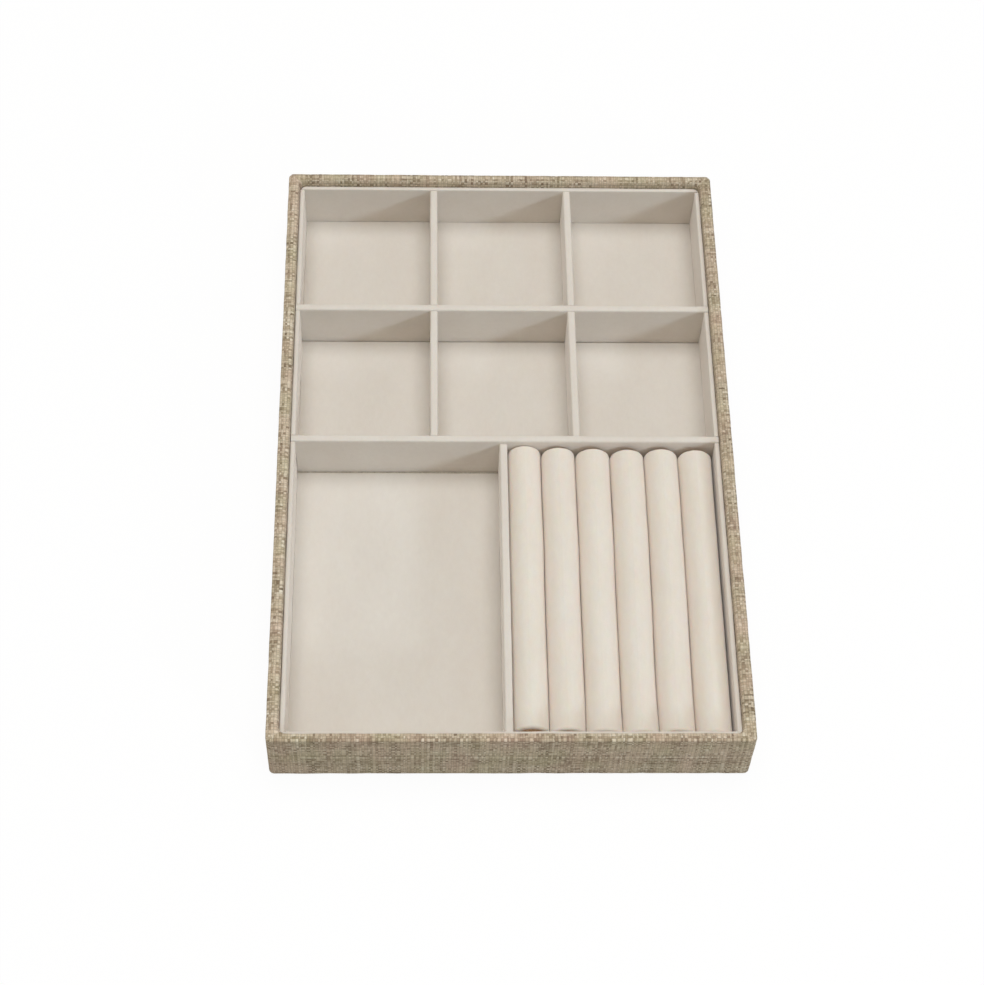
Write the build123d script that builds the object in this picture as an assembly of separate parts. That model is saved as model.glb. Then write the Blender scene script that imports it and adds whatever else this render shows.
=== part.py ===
# Jewelry tray: a shallow board box wrapped in linen, with a velvet lining and ring rolls.
#
# Frame: origin at the centre of the underside, +X right, +Y to the rear row of
# compartments, +Z up. All lengths are in millimetres.

from build123d import *
from math import cos, radians, sqrt
import os

# Overall size, over the linen
overall_width = 235.0
overall_depth = 350.0
overall_height = 37.0

# Outer box: glued boards under one linen cover
side_board_thickness = 5.0
end_board_thickness = 4.0
base_board_thickness = 2.0
linen_thickness = 0.5
outer_corner_radius = 2.5
rim_outer_radius = 1.0
rim_inner_radius = 1.4
linen_inner_corner_radius = 3.5
foot_edge_radius = 1.6
linen_inner_flap_depth = 17.0
linen_turn_in_width = 20.0

# Felt sheet under the base, thicker where it fills the window in the linen
felt_thickness = 0.6
felt_margin = 3.5
felt_corner_radius = 5.0
felt_window_clearance = 0.3

# Lining: velvet wrapped over boards that stand on the base
velvet_thickness = 0.4
liner_board_thickness = 1.5
liner_edge_radius = 0.7
liner_top_drop = 5.1
front_liner_top_drop = 4.0
rear_liner_top_drop = 4.5
liner_corner_radius = 3.2
liner_turnover_depth = 12.0
lining_seam = 0.3

# Dividers: velvet wrapped over thicker boards, lapped where they cross
divider_board_thickness = 3.2
divider_edge_radius = 1.0
cross_divider_top_drop = 4.5
section_divider_top_drop = 6.7
lap_clearance = 0.1
lap_height_share = 0.5

# Plan of the compartments, measured between velvet faces
rear_row_depth = 79.4
second_row_depth = 80.6
ring_bay_width = 107.9
long_divider_count = 2

# Floor pads: velvet wrapped over card, one for each compartment
pad_card_thickness = 1.0
pad_velvet_thickness = 0.3
pad_clearance = 0.3
pad_edge_chamfer = 0.4
large_pad_card_thickness = 0.5
large_pad_rear_play = 0.7

# Ring rolls: a foam strip with a round top in a velvet sleeve, six side by side
roll_count = 6
roll_height = 25.3
roll_gap = 0.3
roll_side_play = 1.1
roll_end_play = 3.8
roll_rear_play_shares = (0.05, 0.31, 0.50, 0.60, 0.50, 0.68)
roll_foot_chamfer = 1.8
roll_end_radius = 1.5
sleeve_thickness = 0.6
sleeve_hem_width = 2.0
sleeve_seam_gap = 0.6

# The leg of a flat that touches a round of unit radius at its middle
flat_share = 2 - sqrt(2)

# Heights worked out from the stack of layers
cover_bottom = felt_thickness
board_bottom = cover_bottom + linen_thickness
board_top = overall_height - linen_thickness
lining_bottom = board_bottom + base_board_thickness
pad_thickness = pad_card_thickness + pad_velvet_thickness
floor_top = lining_bottom + pad_thickness
liner_top = overall_height - liner_top_drop
front_liner_top = overall_height - front_liner_top_drop
rear_liner_top = overall_height - rear_liner_top_drop
cross_divider_top = overall_height - cross_divider_top_drop
section_divider_top = overall_height - section_divider_top_drop
lap_height = floor_top + (liner_top - floor_top) * lap_height_share

# Plan of the outer box
board_half_width = overall_width / 2 - linen_thickness
board_half_depth = overall_depth / 2 - linen_thickness
board_inner_half_width = board_half_width - side_board_thickness
board_inner_half_depth = board_half_depth - end_board_thickness
linen_inner_half_width = board_inner_half_width - linen_thickness
linen_inner_half_depth = board_inner_half_depth - linen_thickness

# Plan of the lining
liner_thickness = liner_board_thickness + 2 * velvet_thickness
divider_thickness = divider_board_thickness + 2 * velvet_thickness
lining_half_width = linen_inner_half_width - lining_seam
lining_half_depth = linen_inner_half_depth - lining_seam
room_half_width = lining_half_width - liner_thickness
room_half_depth = lining_half_depth - liner_thickness

# Places of the dividers, by their faces
rear_cross_rear_face = room_half_depth - rear_row_depth
rear_cross_front_face = rear_cross_rear_face - divider_thickness
front_cross_rear_face = rear_cross_front_face - second_row_depth
front_cross_front_face = front_cross_rear_face - divider_thickness
section_right_face = room_half_width - ring_bay_width
section_left_face = section_right_face - divider_thickness
column_count = long_divider_count + 1
column_width = (2 * room_half_width - long_divider_count * divider_thickness) / column_count

# The rolls fill the ring bay but for the gaps between them and the play at its sides and ends
roll_width = (ring_bay_width - roll_side_play) / roll_count - roll_gap
roll_length = front_cross_front_face + room_half_depth - roll_end_play


def block(left, right, front, rear, bottom, top):
    """A box between six named planes."""
    size = Box(right - left, rear - front, top - bottom)
    return Pos((left + right) / 2, (front + rear) / 2, (bottom + top) / 2) * size


def centred_block(half_width, half_depth, bottom, top):
    return block(-half_width, half_width, -half_depth, half_depth, bottom, top)


def tub(half_width, half_depth, bottom, top, corner):
    """A block with rounded upright corners."""
    body = centred_block(half_width, half_depth, bottom, top)
    return fillet(body.edges().filter_by(Axis.Z), corner)


def top_edges(body):
    return body.faces().sort_by(Axis.Z)[-1].edges()


def bottom_edges(body):
    return body.faces().sort_by(Axis.Z)[0].edges()


def inner_rim_edges(body, half_width, half_depth, top):
    """The edges where the rim's top meets the inner faces, with the corners between them."""
    slack = linen_thickness / 2
    edges = []
    for edge in body.edges():
        middle = edge.center()
        is_inside = abs(middle.X) < half_width + slack and abs(middle.Y) < half_depth + slack
        if abs(middle.Z - top) < slack and is_inside:
            edges.append(edge)
    return edges


# The outer box


def edge_flat(cloth_radius):
    """The flat on a board's edge that leaves even room for the cloth's round."""
    return (cloth_radius - linen_thickness) * flat_share


def wall_ring():
    """The four wall boards as one ring, before they are parted at the corners.

    Their edges are broken by flats, and the cloth over them is round.
    """
    corner = outer_corner_radius - linen_thickness
    body = tub(board_half_width, board_half_depth, board_bottom, board_top, corner)
    body = chamfer(top_edges(body), edge_flat(rim_outer_radius))
    body = chamfer(bottom_edges(body), edge_flat(foot_edge_radius))
    body -= centred_block(board_inner_half_width, board_inner_half_depth, board_bottom, board_top)
    rim = inner_rim_edges(body, board_inner_half_width, board_inner_half_depth, board_top)
    return chamfer(rim, edge_flat(rim_inner_radius))


def wall_boards(ring):
    """End boards run the full width, and the side boards stand between them."""
    ends = board_inner_half_depth
    sides = board_inner_half_width
    front = block(-board_half_width, board_half_width, -board_half_depth, -ends, board_bottom, board_top)
    left = block(-board_half_width, -sides, -ends, ends, board_bottom, board_top)
    return {
        "front_wall_board": ring & front,
        "rear_wall_board": ring & mirror(front, Plane.XZ),
        "left_wall_board": ring & left,
        "right_wall_board": ring & mirror(left, Plane.YZ),
    }


def base_board():
    return centred_block(board_inner_half_width, board_inner_half_depth, board_bottom, lining_bottom)


def linen_cover(ring):
    """One cloth skin: turned in under the base, up the outside, over the rim and down inside.

    The cloth is folded double in the inner corners, so they are rounded there.
    """
    flap_end = overall_height - linen_inner_flap_depth
    body = tub(overall_width / 2, overall_depth / 2, cover_bottom, overall_height, outer_corner_radius)
    body = fillet(top_edges(body), rim_outer_radius)
    body = fillet(bottom_edges(body), foot_edge_radius)
    opening = centred_block(linen_inner_half_width, linen_inner_half_depth, flap_end, overall_height)
    body -= fillet(opening.edges().filter_by(Axis.Z), linen_inner_corner_radius)
    rim = inner_rim_edges(body, linen_inner_half_width, linen_inner_half_depth, overall_height)
    body = fillet(rim, rim_inner_radius)
    body -= centred_block(board_inner_half_width, board_inner_half_depth, board_bottom, flap_end)
    body -= ring
    window_half_width = overall_width / 2 - linen_turn_in_width
    window_half_depth = overall_depth / 2 - linen_turn_in_width
    return body - centred_block(window_half_width, window_half_depth, cover_bottom, board_bottom)


def base_felt():
    """The sheet that covers the linen's turned-in edge and fills the window inside it."""
    sheet = centred_block(overall_width / 2 - felt_margin, overall_depth / 2 - felt_margin, 0, cover_bottom)
    sheet = fillet(sheet.edges().filter_by(Axis.Z), felt_corner_radius)
    inset = linen_turn_in_width + felt_window_clearance
    middle = centred_block(overall_width / 2 - inset, overall_depth / 2 - inset, cover_bottom, board_bottom)
    return sheet + middle


# Velvet over boards


def round_top(body, along, radius):
    """Round the two long top edges of an upright board."""
    return fillet(top_edges(body).filter_by(along), radius)


def wrapped_board(left, right, front, rear, top, along, edge_radius, end_wrap):
    """A board and the velvet folded over it, as two solids that meet face to face."""
    inset_x = velvet_thickness if along == Axis.Y else end_wrap
    inset_y = velvet_thickness if along == Axis.X else end_wrap
    velvet = round_top(block(left, right, front, rear, lining_bottom, top), along, edge_radius)
    board = block(
        left + inset_x,
        right - inset_x,
        front + inset_y,
        rear - inset_y,
        lining_bottom,
        top - velvet_thickness,
    )
    board = round_top(board, along, edge_radius - velvet_thickness)
    return board, velvet - board


def cross_slot(front_face, bottom):
    """The open slot that a cross divider drops into, right across the tray."""
    reach = overall_width / 2
    front = front_face - lap_clearance
    rear = front_face + divider_thickness + lap_clearance
    return block(-reach, reach, front, rear, bottom, overall_height)


def side_liner(side):
    """Left or right lining board, with a slot for the ear of each cross divider."""
    inner, outer = sorted((side * room_half_width, side * lining_half_width))
    board, velvet = wrapped_board(
        inner, outer, -room_half_depth, room_half_depth, liner_top, Axis.Y, liner_edge_radius, 0
    )
    turnover_end = liner_top - liner_turnover_depth
    back, face = sorted((side * lining_half_width, side * (lining_half_width - velvet_thickness)))
    velvet -= block(back, face, -room_half_depth, room_half_depth, lining_bottom, turnover_end)
    for front_face in (rear_cross_front_face, front_cross_front_face):
        slot = cross_slot(front_face, lap_height)
        board -= slot
        velvet -= slot
    return board, velvet


def rounded_plan(inset):
    """The lining's outline with its rounded corners, this far inside the outer faces."""
    plan = centred_block(lining_half_width - inset, lining_half_depth - inset, 0, overall_height)
    return fillet(plan.edges().filter_by(Axis.Z), liner_corner_radius - inset)


def end_liner(end, top):
    """Front or rear lining board, as wide as the box inside the linen."""
    inner, outer = sorted((end * room_half_depth, end * lining_half_depth))
    board, velvet = wrapped_board(
        -lining_half_width,
        lining_half_width,
        inner,
        outer,
        top,
        Axis.X,
        liner_edge_radius,
        velvet_thickness,
    )
    whole = (board + velvet) & rounded_plan(0)
    board = board & rounded_plan(velvet_thickness)
    velvet = whole - board
    turnover_end = top - liner_turnover_depth
    back, face = sorted((end * lining_half_depth, end * (lining_half_depth - velvet_thickness)))
    velvet -= block(-lining_half_width, lining_half_width, back, face, lining_bottom, turnover_end)
    return board, velvet


def column_left(column):
    return -room_half_width + column * (column_width + divider_thickness)


def long_slot(column):
    """The slot from below that lets a cross divider down over a long divider."""
    right = column_left(column) + lap_clearance
    left = column_left(column) - divider_thickness - lap_clearance
    return block(left, right, front_cross_front_face, rear_cross_rear_face, 0, lap_height)


def cross_divider(front_face, is_lapped):
    """A divider across the tray, whose ears sit in the slots of the side liners."""
    board, velvet = wrapped_board(
        -lining_half_width,
        lining_half_width,
        front_face,
        front_face + divider_thickness,
        cross_divider_top,
        Axis.X,
        divider_edge_radius,
        velvet_thickness,
    )
    shoulder = room_half_width - lap_clearance
    for side in (-1, 1):
        left, right = sorted((side * shoulder, side * overall_width / 2))
        rear_face = front_face + divider_thickness
        under_ear = block(left, right, front_face, rear_face, lining_bottom, lap_height)
        board -= under_ear
        velvet -= under_ear
    if is_lapped:
        for column in range(1, column_count):
            board -= long_slot(column)
            velvet -= long_slot(column)
    return board, velvet


def long_divider(column):
    """A divider from the rear liner to the front cross divider, slotted at the rear one."""
    right = column_left(column)
    board, velvet = wrapped_board(
        right - divider_thickness,
        right,
        front_cross_rear_face,
        room_half_depth,
        liner_top,
        Axis.Y,
        divider_edge_radius,
        0,
    )
    slot = cross_slot(rear_cross_front_face, lap_height)
    return board - slot, velvet - slot


def section_divider():
    """The lower divider between the large compartment and the ring bay."""
    return wrapped_board(
        section_left_face,
        section_right_face,
        -room_half_depth,
        front_cross_front_face,
        section_divider_top,
        Axis.Y,
        divider_edge_radius,
        0,
    )


def floor_pad(left, right, front, rear, card_thickness=pad_card_thickness):
    """A card and the velvet over it, which fills one compartment's floor."""
    card_top = lining_bottom + card_thickness
    left, right = left + pad_clearance, right - pad_clearance
    front, rear = front + pad_clearance, rear - pad_clearance
    cover = block(left, right, front, rear, lining_bottom, card_top + pad_velvet_thickness)
    cover = chamfer(top_edges(cover), pad_edge_chamfer)
    wrap = pad_velvet_thickness
    card = block(left + wrap, right - wrap, front + wrap, rear - wrap, lining_bottom, card_top)
    return card, cover - card


# The ring rolls


def roll_outline(inset, along):
    """A roll's section this far inside the sleeve's: a half-round top and a foot with flats."""
    half = roll_width / 2 - inset
    shoulder = roll_height - roll_width / 2
    foot = roll_foot_chamfer - inset * flat_share
    with BuildSketch(Plane.XZ.offset(along)) as outline:
        with BuildLine():
            Polyline(
                (-half, shoulder),
                (-half, inset + foot),
                (-half + foot, inset),
                (half - foot, inset),
                (half, inset + foot),
                (half, shoulder),
            )
            ThreePointArc((half, shoulder), (0, shoulder + half), (-half, shoulder))
        make_face()
    return outline.sketch


def roll_body():
    """The outside of a sleeve, drawn in at both ends by a quarter round.

    The quarter round is laid out as two flats with their corner at its middle.
    """
    middle = roll_end_radius * (1 - cos(radians(45)))
    end = ((0, roll_end_radius), (middle, middle), (roll_end_radius, 0))
    sections = [roll_outline(drawn_in, along) for along, drawn_in in end]
    sections += [roll_outline(drawn_in, roll_length - along) for along, drawn_in in reversed(end)]
    return loft(sections, ruled=True)


def roll_foam():
    """The foam strip that fills the sleeve."""
    outline = roll_outline(sleeve_thickness, sleeve_thickness)
    return extrude(outline, roll_length - 2 * sleeve_thickness)


def end_window():
    """The hole in the sleeve's turned-in ends, through which the foam shows."""
    half = roll_width / 2 - sleeve_hem_width
    shoulder = roll_height - roll_width / 2
    window = block(-half, half, -roll_length, 0, sleeve_hem_width, shoulder)
    crown = Pos(0, -roll_length / 2, shoulder) * Rot(90, 0, 0) * Cylinder(half, roll_length)
    return window + crown


def ring_roll():
    """One roll at the origin: its foam and the sleeve, which is open along the foot."""
    foam = roll_foam()
    seam = block(-sleeve_seam_gap / 2, sleeve_seam_gap / 2, -roll_length, 0, 0, sleeve_thickness)
    sleeve = roll_body() - foam - end_window() - seam
    return foam, sleeve


def roll_place(index):
    """Rolls stand side by side from the section divider, and were pushed in by hand."""
    pitch = roll_width + roll_gap
    across = section_right_face + roll_gap + roll_width / 2 + index * pitch
    rear_gap = roll_end_play * roll_rear_play_shares[index]
    return Pos(across, front_cross_front_face - rear_gap, floor_top)


# All pieces by name


def lining_pieces():
    pieces = {}
    walls = {
        "left_liner": side_liner(-1),
        "right_liner": side_liner(1),
        "front_liner": end_liner(-1, front_liner_top),
        "rear_liner": end_liner(1, rear_liner_top),
        "rear_cross_divider": cross_divider(rear_cross_front_face, True),
        "front_cross_divider": cross_divider(front_cross_front_face, False),
        "left_long_divider": long_divider(1),
        "right_long_divider": long_divider(2),
        "section_divider": section_divider(),
    }
    for name, (board, velvet) in walls.items():
        pieces[name + "_board"] = board
        pieces[name + "_velvet"] = velvet
    return pieces


def floor_pieces():
    pieces = {}
    rows = {
        "rear": (rear_cross_rear_face, room_half_depth),
        "second": (front_cross_rear_face, rear_cross_front_face),
    }
    pads = {}
    for row, (front, rear) in rows.items():
        for column, side in enumerate(("left", "centre", "right")):
            left = column_left(column)
            pads[f"{row}_{side}_floor"] = floor_pad(left, left + column_width, front, rear)
    front, rear = -room_half_depth, front_cross_front_face
    large_rear = rear - large_pad_rear_play
    pads["large_floor"] = floor_pad(
        -room_half_width, section_left_face, front, large_rear, large_pad_card_thickness
    )
    pads["ring_bay_floor"] = floor_pad(section_right_face, room_half_width, front, rear)
    for name, (card, velvet) in pads.items():
        pieces[name + "_card"] = card
        pieces[name + "_velvet"] = velvet
    return pieces


def roll_pieces():
    pieces = {}
    foam, sleeve = ring_roll()
    for index in range(roll_count):
        place = roll_place(index)
        pieces[f"ring_roll_{index + 1}_foam"] = place * foam
        pieces[f"ring_roll_{index + 1}_sleeve"] = place * sleeve
    return pieces


def all_pieces():
    ring = wall_ring()
    pieces = {"base_felt": base_felt(), "base_board": base_board(), "linen_cover": linen_cover(ring)}
    pieces.update(wall_boards(ring))
    pieces.update(lining_pieces())
    pieces.update(floor_pieces())
    pieces.update(roll_pieces())
    return pieces


os.makedirs("parts", exist_ok=True)
for node, solid in all_pieces().items():
    export_step(solid, f"parts/{node}.step")
    print(node, round(solid.volume, 1))
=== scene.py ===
# Jewelry tray: linen over a board box, velvet lining and ring rolls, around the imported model.
# Lengths are in metres. X is to the right, Y to the rear compartments, Z up.
from math import atan2, ceil, cos, exp, pi, radians, sin

import bmesh
import bpy
from mathutils import Matrix, Vector, noise


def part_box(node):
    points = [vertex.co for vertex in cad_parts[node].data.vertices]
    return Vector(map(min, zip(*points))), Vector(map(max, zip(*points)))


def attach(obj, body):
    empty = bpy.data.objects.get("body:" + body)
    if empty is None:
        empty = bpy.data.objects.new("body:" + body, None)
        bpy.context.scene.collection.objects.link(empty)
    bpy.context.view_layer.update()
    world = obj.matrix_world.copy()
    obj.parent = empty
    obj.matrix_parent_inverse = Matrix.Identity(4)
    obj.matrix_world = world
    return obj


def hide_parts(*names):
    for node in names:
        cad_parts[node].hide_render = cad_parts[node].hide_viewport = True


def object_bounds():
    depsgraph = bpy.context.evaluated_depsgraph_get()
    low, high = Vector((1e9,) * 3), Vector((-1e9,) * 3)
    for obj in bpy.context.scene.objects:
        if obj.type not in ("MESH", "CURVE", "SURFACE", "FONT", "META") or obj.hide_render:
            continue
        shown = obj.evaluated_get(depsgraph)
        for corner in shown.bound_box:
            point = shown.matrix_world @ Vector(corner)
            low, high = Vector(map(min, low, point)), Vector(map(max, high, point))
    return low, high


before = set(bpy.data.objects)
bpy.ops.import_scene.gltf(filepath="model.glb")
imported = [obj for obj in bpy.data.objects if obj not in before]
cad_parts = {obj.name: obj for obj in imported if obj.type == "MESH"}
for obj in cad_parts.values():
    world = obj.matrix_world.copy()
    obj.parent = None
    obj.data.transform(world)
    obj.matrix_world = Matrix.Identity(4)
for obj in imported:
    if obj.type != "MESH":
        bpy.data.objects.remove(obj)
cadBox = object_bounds()
mm = 0.001
hair = 0.05 * mm  # how near a point lies to a plane to count as on it
sameSpot = 0.01 * mm  # points nearer to each other than this are merged
facing = 0.9  # the share of a face's normal along an axis that counts as facing that way
squareOn = 0.99  # the same, for a face that is dead flat


# Camera, light and table

camera = {
    "place": (-0.04451, -0.65398, 1.01644),
    "turn": (32.311, -1.6247, -0.8422),  # degrees about X, Y and Z
    "lens": 83.258,
    "sensor": 36.0,
}
studio = {
    "aroundStrength": 0.363,
    "aroundColour": (1.0, 0.925, 0.81, 1),
    "aboveSize": 4.0,
    "abovePlace": (0.12, 0.42, 5.5),
    "abovePower": 201.0,
    "aboveColour": (0.985, 0.99, 1.0),
    "sideSize": 0.20,
    "sidePlace": (1.10, -1.50, 0.72),
    "sidePower": 7.7,
    "sideColour": (0.74, 0.87, 1.0),
    "floorSize": 12.0,
    "floorColour": (0.53, 0.50, 0.45, 1),  # what it throws back on the tray
    "floorShown": (1.0, 1.0, 1.0, 1),  # what the camera sees of the ground and around it
    "floorShadowShare": 0.06,  # how much of the shadow the white ground keeps
}


def placeCamera():
    data = bpy.data.cameras.new("photoCamera")
    data.lens = camera["lens"]
    data.sensor_width = camera["sensor"]
    seat = bpy.data.objects.new("photoCamera", data)
    bpy.context.scene.collection.objects.link(seat)
    seat.location = camera["place"]
    seat.rotation_euler = [radians(angle) for angle in camera["turn"]]
    bpy.context.scene.camera = seat


def addAreaLight(name, place, size, power, colour):
    data = bpy.data.lights.new(name, "AREA")
    data.size = size
    data.energy = power
    data.color = colour
    lamp = bpy.data.objects.new(name, data)
    bpy.context.scene.collection.objects.link(lamp)
    lamp.location = place
    lamp.rotation_euler = (-Vector(place)).to_track_quat("-Z", "Y").to_euler()


def addNode(tree, kind, inputs=None, **settings):
    node = tree.nodes.new(kind)
    for key, value in settings.items():
        setattr(node, key, value)
    for key, value in (inputs or {}).items():
        if isinstance(value, bpy.types.NodeSocket):
            tree.links.new(value, node.inputs[key])
        else:
            node.inputs[key].default_value = value
    return node


def seenDirectly(tree):
    # 1 for rays from the camera, or through and off glossy things, which see plain white
    path = addNode(tree, "ShaderNodeLightPath")
    glossy = addNode(tree, "ShaderNodeMath", {0: path.outputs["Is Camera Ray"],
                     1: path.outputs["Is Glossy Ray"]}, operation="MAXIMUM")
    both = addNode(tree, "ShaderNodeMath", {0: glossy.outputs[0],
                   1: path.outputs["Is Transmission Ray"]}, operation="MAXIMUM")
    return both.outputs[0]


def lightTheRoom():
    world = bpy.data.worlds.new("whiteStudio")
    bpy.context.scene.world = world
    world.use_nodes = True
    tree = world.node_tree
    tree.nodes.clear()
    around = addNode(tree, "ShaderNodeBackground",
                     {"Color": studio["aroundColour"], "Strength": studio["aroundStrength"]})
    white = addNode(tree, "ShaderNodeBackground", {"Color": studio["floorShown"], "Strength": 1.0})
    mixed = addNode(tree, "ShaderNodeMixShader",
                    {0: seenDirectly(tree), 1: around.outputs[0], 2: white.outputs[0]})
    addNode(tree, "ShaderNodeOutputWorld", {"Surface": mixed.outputs[0]})
    for name, side in (("lightAbove", "above"), ("lightFrontRight", "side")):
        place, size, power, colour = (studio[side + part]
                                      for part in ("Place", "Size", "Power", "Colour"))
        addAreaLight(name, place, size, power, colour)


def layTheFloor():
    bpy.ops.object.select_all(action="DESELECT")
    floorHeight = cadBox[0][2] - hair
    bpy.ops.mesh.primitive_plane_add(size=studio["floorSize"], location=(0, 0, floorHeight))
    floor = bpy.context.active_object
    floor.name = "studioFloor"
    material = bpy.data.materials.new("whiteGround")
    material.use_nodes = True
    tree = material.node_tree
    tree.nodes.clear()
    diffuse = addNode(tree, "ShaderNodeBsdfDiffuse", {"Color": studio["floorColour"]})
    paler = addNode(tree, "ShaderNodeBsdfDiffuse", {"Color": studio["floorShown"]})
    white = addNode(tree, "ShaderNodeEmission", {"Color": studio["floorShown"], "Strength": 1.0})
    shown = addNode(tree, "ShaderNodeMixShader",
                    {0: studio["floorShadowShare"], 1: white.outputs[0], 2: paler.outputs[0]})
    mixed = addNode(tree, "ShaderNodeMixShader",
                    {0: seenDirectly(tree), 1: diffuse.outputs[0], 2: shown.outputs[0]})
    addNode(tree, "ShaderNodeOutputMaterial", {"Surface": mixed.outputs[0]})
    floor.data.materials.append(material)


bpy.context.scene.view_settings.view_transform = "Standard"
placeCamera()
lightTheRoom()
layTheFloor()
print("camera, light and floor are set")


# Materials


def newMaterial(name):
    material = bpy.data.materials.new(name)
    material.use_nodes = True
    tree = material.node_tree
    tree.nodes.clear()
    shader = addNode(tree, "ShaderNodeBsdfPrincipled")
    addNode(tree, "ShaderNodeOutputMaterial", {"Surface": shader.outputs[0]})
    return material, tree, shader


def finishShader(tree, shader, look, colour, rough, relief):
    # what every finish shares: colour, roughness between two values, gloss, sheen and relief
    tree.links.new(colour, shader.inputs["Base Color"])
    tree.links.new(remap(tree, rough, *look["roughness"]), shader.inputs["Roughness"])
    tree.links.new(relief, shader.inputs["Normal"])
    shader.inputs["Specular IOR Level"].default_value = look["gloss"]
    if "sheen" in look:
        shader.inputs["Sheen Weight"].default_value = look["sheen"]
        shader.inputs["Sheen Roughness"].default_value = look["sheenRoughness"]


def maths(tree, operation, *values):
    return addNode(tree, "ShaderNodeMath", dict(enumerate(values)), operation=operation).outputs[0]


def noiseAt(tree, vector, scale, detail=2.0, roughness=0.5):
    inputs = {"Vector": vector, "Scale": scale, "Detail": detail, "Roughness": roughness}
    return addNode(tree, "ShaderNodeTexNoise", inputs).outputs["Fac"]


def objectPoint(tree):
    return addNode(tree, "ShaderNodeTexCoord").outputs["Object"]


def stretched(tree, vector, scale):
    return addNode(tree, "ShaderNodeMapping", {"Vector": vector, "Scale": scale}).outputs[0]


def ramp(tree, factor, stops):
    node = addNode(tree, "ShaderNodeValToRGB", {"Fac": factor})
    elements = node.color_ramp.elements
    while len(elements) < len(stops):
        elements.new(0.5)
    for element, (place, colour) in zip(elements, stops):
        element.position = place
        element.color = (*colour, 1)
    return node.outputs["Color"]


def blendColours(tree, factor, first, second, mode="MIX"):
    node = addNode(tree, "ShaderNodeMix", data_type="RGBA", blend_type=mode)
    for index, value in ((0, factor), (6, first), (7, second)):  # its colour sockets
        if isinstance(value, bpy.types.NodeSocket):
            tree.links.new(value, node.inputs[index])
        else:
            node.inputs[index].default_value = value
    return node.outputs[2]


def bumpFrom(tree, height, distance, strength, under=None):
    inputs = {"Height": height, "Distance": distance, "Strength": strength}
    if under is not None:
        inputs["Normal"] = under
    return addNode(tree, "ShaderNodeBump", inputs).outputs[0]


def remap(tree, value, low, high):
    inputs = {"Value": value, "To Min": low, "To Max": high}
    return addNode(tree, "ShaderNodeMapRange", inputs).outputs[0]


def sRGB(red, green, blue):
    # a colour as a photo editor shows it, 0 to 255, for the shader
    def straight(value):
        value = value / 255
        return value / 12.92 if value <= 0.04045 else ((value + 0.055) / 1.055) ** 2.4
    return tuple(straight(value) for value in (red, green, blue))


# noise scales are in bumps per metre, and "threads" runs from the darkest thread to the lightest
linenLook = {
    "warpPitch": 1.30 * mm,
    "weftPitch": 1.40 * mm,
    "uneven": 1.5,  # how much the threads differ in width
    "unevenScale": 0.45,  # how soon the width changes, counted in threads
    "wander": 0.60 * mm,  # how far threads stray from straight
    "wanderScale": 170.0,
    "wobble": 0.40 * mm,  # how far a single thread bends around its neighbours
    "wobbleScale": 640.0,
    "threadTone": (0.55, 0.10),  # how much whole threads differ in tone, and the least tone
    "slubTone": 0.75,  # how much thick and thin stretches add or take away
    "slubLength": 5.5 * mm,
    "nubTone": (0.34, -0.14),  # how much crossings differ, and what that starts from
    # painted shade in the gaps between threads and a painted highlight on their crests, as factors
    # on the thread colour
    "gapShade": 0.50,
    "crestShade": 1.18,
    "gapFades": (0.15, 1.05),  # the gaps between threads show more in some places than in others, in the relief and in the painted shade
    "gapScale": 330.0,
    "evenHeight": 0.66,  # what the weave's height falls back to where the gaps fade
    "roundness": 0.6,  # under 1 makes a thread's top flatter
    "relief": 0.34 * mm,
    "reliefStrength": 0.9,
    "slubRelief": 0.35,
    "fuzzScale": 5200.0,
    "fuzzDepth": 0.05 * mm,
    "fuzzStrength": 0.5,
    "threads": (
        (0.00, sRGB(124, 107, 84)),
        (0.25, sRGB(170, 154, 130)),
        (0.45, sRGB(196, 183, 159)),
        (0.60, sRGB(207, 192, 169)),
        (0.78, sRGB(219, 208, 187)),
        (1.00, sRGB(230, 222, 203)),
    ),
    "olive": sRGB(197, 189, 151),
    "oliveScale": 60.0,
    "oliveShare": (-0.6, 0.85),
    "rose": sRGB(212, 181, 162),
    "roseScale": 47.0,
    "roseStretch": (1.3, 0.7, 1),
    "roseShare": (-0.55, 0.8),
    "roughness": (0.95, 0.8),  # in the gaps and on the crests
    "gloss": 0.25,
    "sheen": 0.12,
    "sheenRoughness": 0.6,
    "warpSalts": (5.2, 3.7),
    "weftSalts": (61.7, 41.3),
}


def threadsAcross(tree, place, pitch, salt):
    # the number of the thread at each place and how near its middle that is, for uneven threads
    count = maths(tree, "DIVIDE", place, pitch)
    inputs = {"W": maths(tree, "ADD", count, salt), "Scale": linenLook["unevenScale"],
              "Detail": 1.0}
    drift = addNode(tree, "ShaderNodeTexNoise", inputs, noise_dimensions="1D").outputs["Fac"]
    count = maths(tree, "MULTIPLY_ADD", drift, linenLook["uneven"], count)
    index = maths(tree, "FLOOR", count)
    bulge = maths(tree, "SINE", maths(tree, "MULTIPLY", maths(tree, "FRACT", count), pi))
    return index, bulge


def threadTone(tree, index, run, salt):
    # each thread has a tone of its own, and thick and thin stretches along it
    inputs = {"W": maths(tree, "ADD", index, salt)}
    own = addNode(tree, "ShaderNodeTexWhiteNoise", inputs, noise_dimensions="1D").outputs["Value"]
    farApart = 7.31  # sets each thread's noise well away from the next one's
    streak = addNode(tree, "ShaderNodeCombineXYZ", {
        0: maths(tree, "DIVIDE", run, linenLook["slubLength"]),
        1: maths(tree, "MULTIPLY", index, farApart),
        2: salt,
    }).outputs[0]
    slubTone = linenLook["slubTone"]
    lift = remap(tree, noiseAt(tree, streak, 1.0, roughness=0.6), -slubTone, slubTone)
    return maths(tree, "ADD", maths(tree, "MULTIPLY_ADD", own, *linenLook["threadTone"]), lift)


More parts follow.
